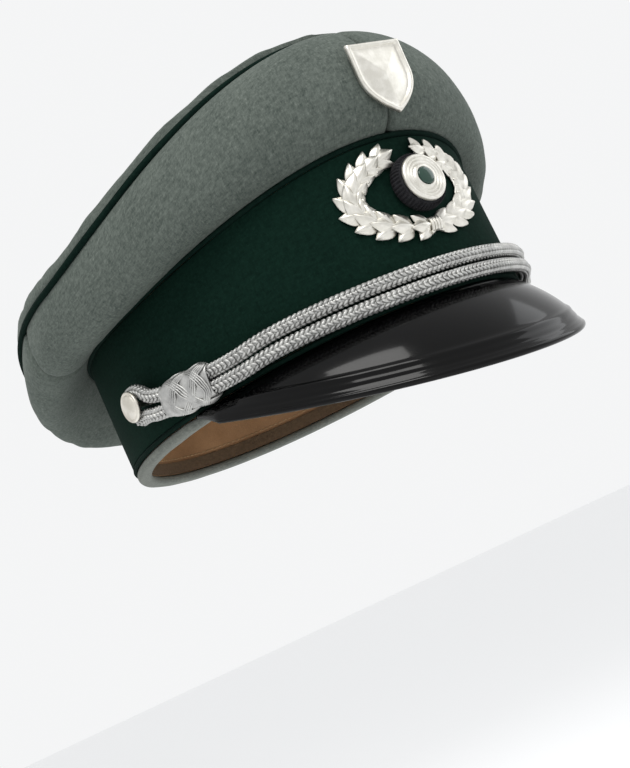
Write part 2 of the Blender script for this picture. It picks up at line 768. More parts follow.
def braid_recipe() -> Recipe:
    """Round braided cord along a line: rings of slanting wire bundles over a core."""
    recipe = Recipe("braided cord", Pitch=2.1 * MM, Radius=2.05 * MM, Columns=8.0, Bundle_length=1.5 * MM,
                    Bundle_width=0.72 * MM, Bundle_height=0.9 * MM, Slant=0.6, Core=1.9 * MM)
    nodes, given = recipe.nodes, recipe.given
    line = nodes.add("GeometryNodeMeshToCurve", {}, {0: given.out("Geometry")}).out()
    places = nodes.add("GeometryNodeCurveToPoints", {"mode": "LENGTH"}, {"Curve": line,
                                                                         "Length": given.out("Pitch")})
    bundle = nodes.add("GeometryNodeMeshUVSphere", {}, {"Segments": 8, "Rings": 5, "Radius": 1.0}).out()
    size = nodes.add("ShaderNodeCombineXYZ", {}, {0: given.out("Bundle_height"), 1: given.out("Bundle_width"),
                                                  2: given.out("Bundle_length")}).out()
    ring = nodes.add("GeometryNodeMeshCircle", {}, {"Vertices": given.out("Columns"),
                                                    "Radius": given.out("Radius")}).out()
    number = nodes.add("GeometryNodeInputIndex").out()
    side = number.maths("MODULO", number, 2.0) * 2.0 - 1.0
    around = number * (2 * math.pi) / given.out("Columns")
    turned = nodes.add("FunctionNodeEulerToRotation", {}, {0: nodes.add(
        "ShaderNodeCombineXYZ", {}, {2: around}).out()}).out()
    slanted = nodes.add("FunctionNodeEulerToRotation", {}, {0: nodes.add(
        "ShaderNodeCombineXYZ", {}, {0: side * given.out("Slant")}).out()}).out()
    facing = nodes.add("FunctionNodeRotateRotation", {"rotation_space": "LOCAL"}, {0: turned,
                                                                                   1: slanted}).out()
    collar = nodes.add("GeometryNodeInstanceOnPoints", {}, {"Points": ring, "Instance": bundle,
                                                            "Rotation": facing, "Scale": size}).out()
    collar = nodes.add("GeometryNodeRealizeInstances", {}, {0: collar}).out()
    bundles = nodes.add("GeometryNodeInstanceOnPoints", {}, {
        "Points": places.out("Points"), "Instance": collar, "Rotation": places.out("Rotation")}).out()
    profile = nodes.add("GeometryNodeCurvePrimitiveCircle", {}, {"Resolution": 10,
                                                                 "Radius": given.out("Core")}).out()
    core = nodes.add("GeometryNodeCurveToMesh", {}, {"Curve": line, "Profile Curve": profile,
                                                     "Fill Caps": True}).out()
    joined = nodes.add("GeometryNodeJoinGeometry", {}, {0: core})
    nodes.tree.links.new(bundles.socket, joined.node.inputs[0])
    recipe.close(joined.out())
    return recipe


def pleat_recipe() -> Recipe:
    """Radial pleats round a disc, which start as one point for each pleat."""
    recipe = Recipe("radial pleats", Length=2.2 * MM, Width=0.62 * MM, Height=0.7 * MM)
    nodes, given = recipe.nodes, recipe.given
    fold = nodes.add("GeometryNodeMeshUVSphere", {}, {"Segments": 8, "Rings": 6, "Radius": 1.0}).out()
    size = nodes.add("ShaderNodeCombineXYZ", {}, {0: given.out("Length"), 1: given.out("Width"),
                                                  2: given.out("Height")}).out()
    turn = nodes.add("GeometryNodeInputNamedAttribute", {"data_type": "FLOAT_VECTOR"}, {0: "turn"}).out()
    facing = nodes.add("FunctionNodeEulerToRotation", {}, {0: turn}).out()
    recipe.close(nodes.add("GeometryNodeInstanceOnPoints", {}, {
        "Points": given.out("Geometry"), "Instance": fold, "Rotation": facing, "Scale": size}).out())
    return recipe


def leaf_recipe() -> Recipe:
    """Laurel leaves on points: pointed at both ends, with a raised rib and bent edges."""
    recipe = Recipe("laurel leaves", Length=4.7 * MM, Width=2.7 * MM, Height=1.05 * MM, Rib=0.9)
    nodes, given = recipe.nodes, recipe.given
    blank = nodes.add("GeometryNodeMeshUVSphere", {}, {"Segments": 16, "Rings": 12, "Radius": 1.0}).out()
    place = nodes.add("GeometryNodeInputPosition").out()
    axes = nodes.add("ShaderNodeSeparateXYZ", {}, {0: place})
    across, thick, along = axes.out(0), axes.out(1), axes.out(2)
    taper = (1.0 - along * along * 0.6) * (1.0 + along * -0.2)
    crest = (1.0 - (abs(across) * 2.4).limited()) * given.out("Rib")
    rise = thick * (0.55 + crest) + across * across * -0.35 + along * along * -0.5
    shaped = nodes.add("ShaderNodeCombineXYZ", {}, {
        0: along * given.out("Length"), 1: across * taper * given.out("Width"),
        2: rise * given.out("Height")}).out()
    leaf = nodes.add("GeometryNodeSetPosition", {}, {"Geometry": blank, "Position": shaped}).out()
    turn = nodes.add("GeometryNodeInputNamedAttribute", {"data_type": "FLOAT_VECTOR"}, {0: "turn"}).out()
    size = nodes.add("GeometryNodeInputNamedAttribute", {"data_type": "FLOAT"}, {0: "size"}).out()
    facing = nodes.add("FunctionNodeEulerToRotation", {}, {0: turn}).out()
    recipe.close(nodes.add("GeometryNodeInstanceOnPoints", {}, {
        "Points": given.out("Geometry"), "Instance": leaf, "Rotation": facing, "Scale": size}).out())
    return recipe


def turned_points(name: str, places: Sequence[Point], turns: Sequence[Point],
                  sizes: Sequence[float]) -> bpy.types.Object:
    """Bare points with a turn and a size each, for a recipe that puts something on every one.

    Args:
        name: The piece's name.
        places: The points in millimetres.
        turns: Euler turns in radians.
        sizes: How large each thing is, 1 being usual.

    Returns:
        The piece.
    """
    mesh = bpy.data.meshes.new(name)
    mesh.from_pydata([tuple(c * MM for c in p) for p in places], [], [])
    mesh.attributes.new("turn", "FLOAT_VECTOR", "POINT")
    mesh.attributes.new("size", "FLOAT", "POINT")
    for i, (angles, value) in enumerate(zip(turns, sizes)):
        mesh.attributes["turn"].data[i].vector = angles
        mesh.attributes["size"].data[i].value = value
    return new_piece(name, mesh)


def merged(name: str, pieces: Sequence[bpy.types.Object]) -> bpy.types.Object:
    """Puts several meshes into one piece, each part keeping its finish."""
    build = bmesh.new()
    materials: list[bpy.types.Material] = []
    for piece in pieces:
        start = len(build.faces)
        build.from_mesh(piece.data)
        build.faces.ensure_lookup_table()
        numbers = []
        for material in piece.data.materials:
            if material not in materials:
                materials.append(material)
            numbers.append(materials.index(material))
        for face in build.faces[start:]:
            face.material_index = numbers[min(face.material_index, len(numbers) - 1)]
    mesh = bpy.data.meshes.new(name)
    build.to_mesh(mesh)
    build.free()
    for material in materials:
        mesh.materials.append(material)
    for piece in pieces:
        bpy.data.objects.remove(piece)
    return new_piece(name, mesh)


def lathe_piece(name: str, profile: Sequence[tuple[float, float]], frame: Matrix, finish: Finish,
                steps: int = 64) -> bpy.types.Object:
    """A turned piece.

    Args:
        name: The piece's name.
        profile: Radius and height of each ring, in millimetres.
        frame: Where the axis stands, its z along the axis, in millimetres.
        finish: The piece's finish.
        steps: Points round the axis.

    Returns:
        The piece, closed at both ends.
    """
    rows = []
    for radius, height in profile:
        rows.append([tuple(frame @ Vector((radius * math.cos(2 * math.pi * i / steps),
                                           radius * math.sin(2 * math.pi * i / steps), height)))
                     for i in range(steps)])
    return grid_piece(name, rows, wrap_u=True, caps=True, finish=finish)


def frame_at(place: Vector, along: Vector, up: Vector) -> Matrix:
    """A frame whose z runs along one direction and whose y is nearest another."""
    z = along.normalized()
    x = up.cross(z).normalized()
    turn = Matrix((x, z.cross(x), z)).transposed().to_4x4()
    return Matrix.Translation(place) @ turn


def fitted(piece: bpy.types.Object, body: str, slot: str, *nodes: str) -> bpy.types.Object:
    """Puts a finished piece on its body.

    Args:
        piece: The piece, in place.
        body: The CAD body that it moves with.
        slot: The record's material slot.
        nodes: CAD nodes that it stands for.

    Returns:
        The piece.
    """
    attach(piece, body)
    if nodes:
        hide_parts(*nodes)
    LOG.info("%s: %d faces, on %s", piece.name, len(piece.data.polygons), body)
    return piece


# ---- Sub-assemblies -----------------------------------------------------------------------
@dataclass
class Crown:
    """Top panel, four side panels and the piping between them."""

    cloth: float = 1.1
    dome: float = 9.0
    puff: float = 11.0
    roll: float = 4.0
    overhang: float = 3.2
    top_cells: int = 84
    panel_rows: int = 40
    quarter_seam: float = 105.0
    column_step: float = 0.75
    seam_depth: float = 1.7
    seam_width: float = 1.7
    piping_radius: float = 1.45
    sag_limit: float = 3.0
    sim_frames: int = 16

    def top_point(self, u: float, v: float) -> Point:
        """Point of the top panel before it is stuffed, from a square's coordinates."""
        a, b = u * math.sqrt(1 - v * v / 2), v * math.sqrt(1 - u * u / 2)
        out = min(1.0, math.hypot(a, b))
        y = b * (FORM.crown_depth(b) - 0.6)
        x = a * (FORM.crown_half_width - 0.6)
        from_edge = (1 - out) * math.hypot(x, y) / max(out, 0.01) if out > 0.5 else 60.0
        rise = self.dome * (1 - out * out) + self.puff * (1 - math.exp(-from_edge / self.roll))
        wider = 1 + self.overhang * math.exp(-((from_edge - 4.0) / 2.6) ** 2) / max(1.0, math.hypot(x, y))
        return x * wider, y * wider, FORM.edge_z(y) - 0.3 + rise

    def top(self) -> bpy.types.Object:
        """The stuffed top panel."""
        cells = self.top_cells
        marks = [math.sin(math.pi / 2 * (2 * i / cells - 1)) * 0.35 + (2 * i / cells - 1) * 0.65
                 for i in range(cells + 1)]
        piece = grid_piece("crown_top", [[self.top_point(u, v) for u in marks] for v in marks],
                           finish=CROWN_WOOL)
        face_away(piece, lambda place: Vector((0, 0, 1)))
        self.stuff(piece)
        for vertex in piece.data.vertices:
            x, y, _ = (c / MM for c in vertex.co)
            out = math.hypot(x / FORM.crown_half_width, y / FORM.crown_depth(y))
            rim = smooth(out, 0.8, 0.97) * (1 - smooth(out, 0.985, 1.0))
            soft = ripple(x, y, 0, 62, 3.1) * 1.5 + ripple(x, y, 0, 27, 8.0) * 0.6
            pucker = ripple(math.atan2(x, y) * 60, out * 3, 0, 5.5, 1.7) * 0.9
            vertex.co.z += (soft * (1 - smooth(out, 0.9, 1.0)) + pucker * rim) * MM
        thickened(piece, self.cloth)
        fitted(piece, "cap", "crown_wool", "crown_top_panel")
        return piece

    def stuff(self, piece: bpy.types.Object) -> None:
        """Lets the held sheet swell as cloth, then limits how far it has moved."""
        start = [v.co.copy() for v in piece.data.vertices]
        held = piece.vertex_groups.new(name="sewn edge")
        side = self.top_cells + 1
        held.add([i for i in range(side * side)
                  if i % side in (0, side - 1) or i // side in (0, side - 1)], 1.0, "REPLACE")
        cloth = piece.modifiers.new("wool", "CLOTH")
        cloth.settings.quality = 5
        cloth.settings.mass = 0.3
        cloth.settings.tension_stiffness = 25
        cloth.settings.bending_stiffness = 3
        cloth.settings.vertex_group_mass = "sewn edge"
        cloth.settings.use_pressure = True
        cloth.settings.uniform_pressure_force = 4
        cloth.settings.effector_weights.gravity = 0
        cloth.collision_settings.use_collision = False
        cloth.collision_settings.use_self_collision = False
        cloth.point_cache.frame_end = self.sim_frames
        scene = bpy.context.scene
        for number in range(1, self.sim_frames + 1):
            scene.frame_set(number)
        settled(piece)
        for vertex, before in zip(piece.data.vertices, start):
            move = vertex.co - before
            if move.length > self.sag_limit * MM:
                vertex.co = before + move.normalized() * self.sag_limit * MM
        piece.vertex_groups.clear()
        scene.frame_set(1)

    def panel(self, name: str, start: float, end: float, node: str) -> bpy.types.Object:
        """One side panel between two seams.

        Args:
            name: The piece's name.
            start: Angle of one seam.
            end: Angle of the other.
            node: The CAD node that it stands for.

        Returns:
            The panel.
        """
        columns = round(abs(end - start) / self.column_step)
        rows = []
        for j in range(self.panel_rows + 1):
            k = j / self.panel_rows
            row = []
            for i in range(columns + 1):
                angle = start + (end - start) * i / columns
                x, y, z = FORM.on_side(angle, k)
                span = 1.55 + 0.02 * max(0.0, math.hypot(x, y) - 90)
                near = min(abs(angle - start), abs(end - angle)) * span
                seam = self.seam_depth * math.exp(-(near / self.seam_width) ** 2)
                full = math.sin(math.pi * k) ** 0.7
                slack = 0.25 + 1.25 * smooth(abs(angle), 25, 100)
                soft = slack * (ripple(x, y, z, 34, 5.0) + ripple(x * 1.8, y * 1.8, z * 0.6, 21, 2.0) * 0.6)
                tug = ripple(near * 0.35, z, start, 5.0, 4.0) * 0.55 * math.exp(-near / 7.0)
                row.append(FORM.on_side(angle, k, full * (0.9 + soft + tug) - seam))
            rows.append(row)
        piece = grid_piece(name, rows, finish=CROWN_WOOL)
        face_away(piece, lambda place: Vector((place.x, place.y, 0)))
        thickened(piece, self.cloth)
        return fitted(piece, "cap", "crown_wool", node)

    def piping(self, recipe: Recipe) -> bpy.types.Object:
        """The piping sewn between the top and the sides."""
        line = []
        for i in range(360):
            t = 2 * math.pi * i / 360
            y = -math.cos(t) * (FORM.crown_depth(-math.cos(t)) - 0.5)
            x = math.sin(t) * (FORM.crown_half_width - 0.5)
            line.append((x + ripple(x, y, 1, 30) * 0.3, y, FORM.edge_z(y) + ripple(x, y, 0, 24) * 0.35))
        piece = recipe.run(path_piece("crown_edge_piping", line, closed=True), PIPING_WOOL.material(),
                           Radius=self.piping_radius * MM)
        return fitted(piece, "cap", "piping", "crown_piping")

    def build(self, recipe: Recipe) -> None:
        """Makes the whole crown."""
        self.top()
        for side, word in ((1, "left"), (-1, "right")):
            self.panel(f"side_front_{word}", 0.0, side * self.quarter_seam, f"side_panel_front_{word}")
            self.panel(f"side_rear_{word}", side * self.quarter_seam, side * 180.0,
                       f"side_panel_rear_{word}")
        self.piping(recipe)


@dataclass
class Band:
    """Band cloth with its two pipings and the rolled hem."""

    cloth: float = 1.5
    hem_inner: float = -6.6
    hem_outer: float = -0.4
    hem_front: float = -2.45
    hem_low: float = -6.0
    hem_high: float = -2.2

    def cloth_ring(self) -> bpy.types.Object:
        """The dark cloth round the head."""
        def section(angle: float) -> list[tuple[float, float]]:
            """Outline at an angle."""
            x, y, _, _ = FORM.band(angle)
            outline = rounded(-self.cloth, 0.0, 0.0, FORM.band_top(y), 0.5, 3, 14)
            return [(o + (ripple(x, y, z, 18, 2.0) * 0.22 if o > -0.4 else 0.0), z) for o, z in outline]
        return fitted(ring_piece("band_ring", section, BAND_WOOL, 300), "cap", "band_wool", "band_cloth")

    def pipings(self, recipe: Recipe) -> None:
        """The corded edges of the band."""
        for name, out, radius, node in (("band_upper_piping", -0.05, 1.15, "band_top_piping"),
                                        ("band_lower_piping", -0.75, 1.1, "band_bottom_piping")):
            line = []
            for i in range(300):
                x, y, _, _ = FORM.band(1.2 * i, out)
                z = FORM.band_top(y) + 1.15 if node == "band_top_piping" else -1.15
                line.append((x, y, z + ripple(x, y, 0, 22, 6.0) * 0.2))
            piece = recipe.run(path_piece(name, line, closed=True), PIPING_WOOL.material(),
                               Radius=radius * MM)
            fitted(piece, "cap", "piping", node)

    def hem(self) -> bpy.types.Object:
        """The felt strip rolled under the band, stepped in behind the peak."""
        def section(angle: float) -> list[tuple[float, float]]:
            """Outline at an angle."""
            x, y, _, _ = FORM.band(angle)
            outer = self.hem_front + (self.hem_outer - self.hem_front) * smooth(abs(angle), 76.5, 80)
            low = self.hem_low + ripple(x, y, 0, 16, 9.0) * 0.25
            return rounded(self.hem_inner, low, outer, self.hem_high, 1.75, 6, 3)
        return fitted(ring_piece("rolled_hem", section, HEM_WOOL, 300), "cap", "hem_wool", "hem_strip")

    def build(self, recipe: Recipe) -> None:
        """Makes the band."""
        self.cloth_ring()
        self.pipings(recipe)
        self.hem()


@dataclass
class Inside:
    """Sweatband with its stitching, and the lining."""

    leather_outer: float = -4.5
    leather: float = 1.4
    leather_low: float = -2.0
    leather_high: float = 37.0
    lining_offset: float = -5.1
    lining: float = 0.7
    lining_low: float = 37.2
    lining_drop: float = 8.2
    lean: float = 12.0
    lean_top: float = 110.0
    dome: float = 17.0
    pleats: int = 96
    pleat_depth: float = 0.3
    wall_rows: int = 15
    top_cells: int = 40
    stitch_rows: tuple[tuple[str, float], ...] = (("upper_stitches", 33.5), ("lower_stitches", 5.2))

    def sweatband(self) -> bpy.types.Object:
        """The leather that lies on the head."""
        def section(angle: float) -> list[tuple[float, float]]:
            """Outline at an angle."""
            x, y, _, _ = FORM.band(angle)
            inner = self.leather_outer - self.leather
            outline = rounded(inner, self.leather_low, self.leather_outer, self.leather_high, 0.6, 3, 10)
            return [(o + (ripple(x, y, z * 1.4, 20, 7.0) * 0.35 if o < inner + 0.5 and z > 6 else 0.0), z)
                    for o, z in outline]
        return fitted(ring_piece("sweat_leather_band", section, SWEAT_LEATHER, 240), "cap", "sweat_leather",
                      "sweatband")

    def stitching(self, recipe: Recipe) -> None:
        """Two rows of thread in the leather."""
        for name, height in self.stitch_rows:
            inner = self.leather_outer - self.leather - 0.05
            line = [(*FORM.band(1.5 * i, inner)[:2], height) for i in range(240)]
            piece = recipe.run(path_piece(name, line, closed=True), THREAD.material())
            fitted(piece, "cap", "tape")

    def top_z(self, x: float, y: float) -> float:
        """Height of the lining's top."""
        flat = (y / FORM.crown_depth(y)) ** 2 + (x / FORM.crown_half_width) ** 2
        return FORM.edge_z(y) + self.dome * (1 - flat) - self.lining_drop

    def wall_point(self, angle: float, inset: float, z: float) -> Point:
        """Point of the lining's wall, which leans back in front."""
        t = math.radians(angle)
        back = self.lean / 2 * (z - self.lining_low) / (self.lean_top - self.lining_low)
        offset = self.lining_offset - inset
        return ((FORM.half_width + offset) * math.sin(t),
                back - (FORM.half_length + offset - back) * math.cos(t), z)

    def wall_top(self, angle: float, inset: float) -> Point:
        """Point where the lining's wall meets its top."""
        place = self.wall_point(angle, inset, self.lean_top)
        for _ in range(4):
            place = self.wall_point(angle, inset, self.top_z(place[0], place[1]) - 0.3)
        return place

    def lining_wall(self) -> bpy.types.Object:
        """The lining's side, gathered in small pleats."""
        rows, last = [], self.wall_rows
        for inner in (False, True):
            for j in (range(last, -1, -1) if inner else range(last + 1)):
                row = []
                for i in range(self.pleats * 4):
                    angle = 360.0 * i / (self.pleats * 4)
                    fold = math.sin(math.pi / 2 * i) * self.pleat_depth * math.sin(math.pi * j / last)
                    inset = 0.35 - fold + (self.lining if inner else 0.0)
                    height = self.wall_top(angle, inset)[2] - self.lining_low
                    row.append(self.wall_point(angle, inset, self.lining_low + height * j / last))
                rows.append(row)
        piece = grid_piece("lining_wall", rows, wrap_u=True, wrap_v=True, finish=SATIN)
        return fitted(piece, "cap", "satin", "lining_side")

    def lining_top(self) -> bpy.types.Object:
        """The lining under the crown."""
        cells = self.top_cells
        rows = []
        for j in range(cells + 1):
            row = []
            for i in range(cells + 1):
                u, v = 2 * i / cells - 1, 2 * j / cells - 1
                a, b = u * math.sqrt(1 - v * v / 2), v * math.sqrt(1 - u * u / 2)
                out = math.hypot(a, b)
                rim_x, rim_y, _ = self.wall_top(math.degrees(math.atan2(a, -b)), 0.0)
                x, y = rim_x * out, self.lean / 2 + (rim_y - self.lean / 2) * out
                row.append((x, y, self.top_z(x, y) + 0.4 + ripple(x, y, 0, 30, 4.0) * 0.3))
            rows.append(row)
        piece = grid_piece("lining_crown", rows, finish=SATIN)
        face_away(piece, lambda place: Vector((0, 0, 1)))
        thickened(piece, self.lining, 0.0)
        return fitted(piece, "cap", "satin", "lining_top")

    def build(self, stitches: Recipe) -> None:
        """Makes the inside."""
        self.sweatband()
        self.stitching(stitches)
        self.lining_wall()
        self.lining_top()


@dataclass
class Peak:
    """The lacquered peak, with a raised line near its rolled rim."""

    half_width: float = 87.7
    tip_y: float = -125.8
    root_y: float = -6.7
    root_z: float = 1.5
    drop: float = 37.9
    end_angle: float = 75.0
    thickness: float = 2.0
    crowning: float = 4.0
    line_from_edge: float = 8.0
    line_height: float = 0.45
    line_width: float = 1.2
    rim: float = 1.35
    step: float = 0.75
    cells: int = 46

    def section(self, angle: float) -> list[Point]:
        """Closed outline of the peak in one place round the band."""
        x, y, nx, ny = FORM.band(angle, -0.2)
        f = math.radians(angle * 90.0 / 84.0)
        edge = Vector((self.half_width * math.sin(f),
                       self.root_y + (self.tip_y - self.root_y) * math.cos(f),
                       self.root_z - self.drop * math.cos(f)))
        fade = min(1.0, max(0.12, (self.end_angle + 1.5 - abs(angle)) / 9.0))
        root = Vector((x, y, -2.4))
        edge = root + (edge - root) * fade
        out = edge - root
        normal = out.cross(Vector((-ny, nx, 0))).normalized()
        if normal.z < 0:
            normal.negate()
        middle = (root + edge) / 2 + normal * self.crowning * fade
        detail = smooth(out.length, 9.0, 22.0)
        rim = 0.95 + (self.rim - 0.95) * detail
        upper, lower = [], []
        for i in range(self.cells + 1):
            s = i / self.cells
            s = 1 - (1 - s) ** 1.25
            place = root * (1 - s) ** 2 + middle * 2 * s * (1 - s) + edge * s * s
            from_edge = (1 - s) * out.length
            ridge = self.line_height * math.exp(-((from_edge - self.line_from_edge) / self.line_width) ** 2)
            dip = 0.25 * math.exp(-((from_edge - 3.2) / 0.8) ** 2)
            upper.append(place + normal * (ridge - dip) * detail)
            if from_edge > 1.2:
                lower.append(place - normal * self.thickness)
        ahead = (edge - middle).normalized()
        bow = normal - ahead * normal.dot(ahead)
        centre = edge - bow * (self.thickness / 2)
        roll = [centre + (bow * math.cos(a) + ahead * math.sin(a)) * rim
                for a in (math.radians(d) for d in range(-25, 206, 21))]
        outline = upper[:-3] + roll + lower[::-1]
        return [tuple(p) for p in outline]

    def build(self) -> bpy.types.Object:
        """Makes the peak, lined underneath."""
        count = round(2 * self.end_angle / self.step)
        outlines = [self.section(self.end_angle * (2 * i / count - 1)) for i in range(count + 1)]
        size = min(len(o) for o in outlines)
        outlines = [self.evened(o, size) for o in outlines]
        piece = grid_piece("lacquered_peak", outlines, wrap_u=True, caps=True, finish=PEAK_LACQUER)
        piece.data.materials.append(PEAK_LINING.material())
        for face in piece.data.polygons:
            if face.normal.z < -0.25 and face.normal.y > 0.05:
                face.material_index = 1
        return fitted(piece, "cap", "peak_fibre", "peak")

    @staticmethod
    def evened(outline: list[Point], size: int) -> list[Point]:
        """The outline with only so many points, the spare ones taken from the underside."""
        spare = len(outline) - size
        return outline[:len(outline) - spare - 2] + outline[-2:] if spare else outline


@dataclass
class ChinCord:
    """The doubled braided cord and its two woven slides."""

    spread: float = 3.2
    offset: float = 4.5
    heights: tuple[tuple[float, float], ...] = ((-8, 4.2), (-24, 4.6), (-38, 5.3), (-50, 5.7))
    slide_angle: float = 71.0
    slide_z: float = 5.9
    slope: float = 0.10
    slide_out: float = 5.6
    slide_spread: float = 3.0
    run_front: float = 24.0
    run_rear: float = 19.5
    button_y: float = -5.0
    button_z: float = 13.5
    loop: float = 5.6
    slide_length: float = 27.0
    half_high: float = 7.3
    half_deep: float = 4.15
    slot_high: float = 6.25
    slot_deep: float = 3.25
    leads: int = 5
    bights: int = 4
    wires: int = 4
    wire_gap: float = 0.78
    wire_radius: float = 0.41
    weave_height: float = 0.5
    weave_steps: int = 660
    weave_lift: float = 0.12
    wire_step: float = 0.62
    hull_power: float = 1 / 1.3
    slot_power: float = 0.7
    slot_fit: float = 0.97
    around_steps: int = 40

    def slide_frame(self, side: int) -> tuple[Vector, Vector, Vector]:
        """Middle of the cord in the slide, the way ahead along it, and the way out from the band."""
        x, y, nx, ny = FORM.band(side * self.slide_angle, self.slide_out)
        ahead = Vector((-abs(ny) * side, -abs(nx), -self.slope)).normalized()
        outward = Vector((-ahead.y * side, ahead.x * side, 0)).normalized()
        return Vector((x, y, self.slide_z)), ahead, outward

    def strand(self, sign: int) -> list[Point]:
        """The route of one strand on the wearer's right, from the front to the button."""
        points = []
        for angle, z in self.heights:
            x, y, _, _ = FORM.band(angle, self.offset)
            points.append((x, y, z + sign * self.spread))
        middle, ahead, _ = self.slide_frame(-1)
        for run in (self.run_front, -self.run_rear):
            place = middle + ahead * run
            points.append((place.x, place.y, place.z + sign * self.slide_spread))
        x = -(FORM.half_width + self.loop)
        points.append((x, self.button_y - 3.0, self.button_z + sign * self.loop))
        points.append((x, self.button_y + self.loop, self.button_z + sign * self.loop))
        return points

    def cord(self, recipe: Recipe) -> bpy.types.Object:
        """The whole loop of cord."""
        upper, lower = self.strand(1), self.strand(-1)
        right = upper + lower[::-1]
        left = [(-x, y, z) for x, y, z in right]
        line = spline_points(right + left[::-1], closed=True, resolution=16)
        piece = recipe.run(path_piece("chin_cord_braid", line, closed=True), WIRE.material())
        return fitted(piece, "chin_cord", "wire_cord", "chin_cord")

    def hull(self, lift: float, around: float, along: float) -> tuple[float, float]:
        """Height and depth of a point of the slide's surface, or lifted off it."""
        high, deep = self.half_high, self.half_deep
        shrink = 1 - 0.20 * smooth(abs(along), self.slide_length * 0.30, self.slide_length * 0.5)
        c, s = math.cos(around), math.sin(around)
        n_h, n_d = c / high, s / deep
        size = math.hypot(n_h, n_d)
        return (squared(c, self.hull_power) * high * shrink + n_h / size * lift,
                squared(s, self.hull_power) * deep * shrink + n_d / size * lift)

    def weave(self) -> list[tuple[float, float, float]]:
        """One wire bundle's middle line on the unrolled slide: around, along and lift."""
        steps, turns = self.weave_steps, self.leads
        line = []
        for i in range(steps):
            t = i / steps
            around = 2 * math.pi * turns * t
            phase = 2 * math.pi * self.bights * t
            along = math.asin(0.95 * math.sin(phase)) / math.asin(0.95) * self.slide_length * 0.44
            runs = 2 * self.bights * t + 0.5
            run, part = int(runs), (runs % 1.0) * self.leads
            cell = min(self.leads - 1.0, max(1.0, part))
            sign = run % 2 if self.leads % 2 else 0
            lift = math.cos(math.pi * (cell + sign)) * self.weave_height
            line.append((around, along, lift))
        return line

    def slide(self, side: int, word: str, recipe: Recipe) -> bpy.types.Object:
        """A woven slide that both strands run through."""
        middle, ahead, outward = self.slide_frame(side)
        up = outward.cross(ahead)
        if up.z < 0:
            up.negate()

        def placed(h: float, d: float, along: float) -> Point:
            """Point of the cap from one of the slide."""
            return tuple(middle + ahead * along + up * h + outward * d)

        rows = []
        half = self.slide_length / 2
        turns = [2 * math.pi * i / self.around_steps for i in range(self.around_steps)]
        ends = (0.25, 0.5, 0.75, 0.9, 0.97, 1.0)
        for part in [-p for p in ends[::-1]] + [0.0, *ends]:
            drop = 0.45 * smooth(abs(part), 0.9, 1.0)
            rows.append([placed(*self.hull(-drop, a, part * half), part * half) for a in turns])
        for part in (1.0, 0.0, -1.0):
            rows.append([placed(squared(math.cos(a), self.slot_power) * self.slot_high * self.slot_fit,
                                squared(math.sin(a), self.slot_power) * self.slot_deep * self.slot_fit,
                                part * (half - 0.2)) for a in turns])
        body = grid_piece("slide_body", rows, wrap_u=True, wrap_v=True, finish=WIRE)
        weave = self.weave()
        verts, edges = [], []
        arc = (self.half_high + self.half_deep) * 0.5
        for wire in range(self.wires):
            shift = (wire - (self.wires - 1) / 2) * self.wire_gap
            start = len(verts)
            for i, (around, along, lift) in enumerate(weave):
                before, after = weave[i - 1], weave[(i + 1) % len(weave)]
                turn = (after[0] - before[0]) % (2 * math.pi)
                ds, da = after[1] - before[1], turn * arc
                size = math.hypot(ds, da)
                a2, s2 = around - ds / size * shift / arc, along + da / size * shift
                h, d = self.hull(lift + self.weave_lift, a2, s2)
                verts.append(tuple(c * MM for c in placed(h, d, s2)))
                edges.append((start + i, start + (i + 1) % len(weave)))
        mesh = bpy.data.meshes.new("slide_wires")
        mesh.from_pydata(verts, edges, [])
        wires = recipe.run(new_piece("slide_wires", mesh), WIRE.material(), Radius=self.wire_radius * MM,
                           Step=self.wire_step * MM, Sides=6.0)
        piece = merged(f"woven_slide_{word}", [body, wires])
        return fitted(piece, f"slide_{word}", "wire_cord", f"cord_slide_{word}")

    def build(self, braid: Recipe, wires: Recipe) -> None:
        """Makes the cord and its slides."""
        self.cord(braid)
        for side, word in ((-1, "right"), (1, "left")):
            self.slide(side, word, wires)


@dataclass
class SideButton:
    """A domed button with a smooth rim, on its shank."""

    radius: float = 6.3
    face: float = 11.4
    y: float = -5.0
    z: float = 13.5
    shank: float = 1.3

    def build(self, side: int, word: str) -> bpy.types.Object:
        """Makes one side's button."""
        r, top = self.radius, self.face
        profile = [(0.05, -4.0), (self.shank, -4.0), (self.shank, top - 2.4), (r - 1.0, top - 2.4),
                   (r - 0.25, top - 2.2), (r, top - 1.75), (r - 0.05, top - 1.25), (r - 0.3, top - 0.92),
                   (r - 0.65, top - 0.85), (r - 0.95, top - 0.98), (r - 1.15, top - 1.2)]
        profile += [((r - 1.35) * math.cos(a), top - 1.2 + 1.2 * math.sin(a))
                    for a in (math.radians(d) for d in range(4, 88, 7))]
        profile.append((0.05, top))
        frame = frame_at(Vector((side * FORM.half_width, self.y, self.z)), Vector((side, 0, 0)),
                         Vector((0, 0, 1)))
        piece = lathe_piece(f"button_{word}", profile, frame, BUTTON_METAL)
        return fitted(piece, "cap", "button_metal", f"side_button_{word}")


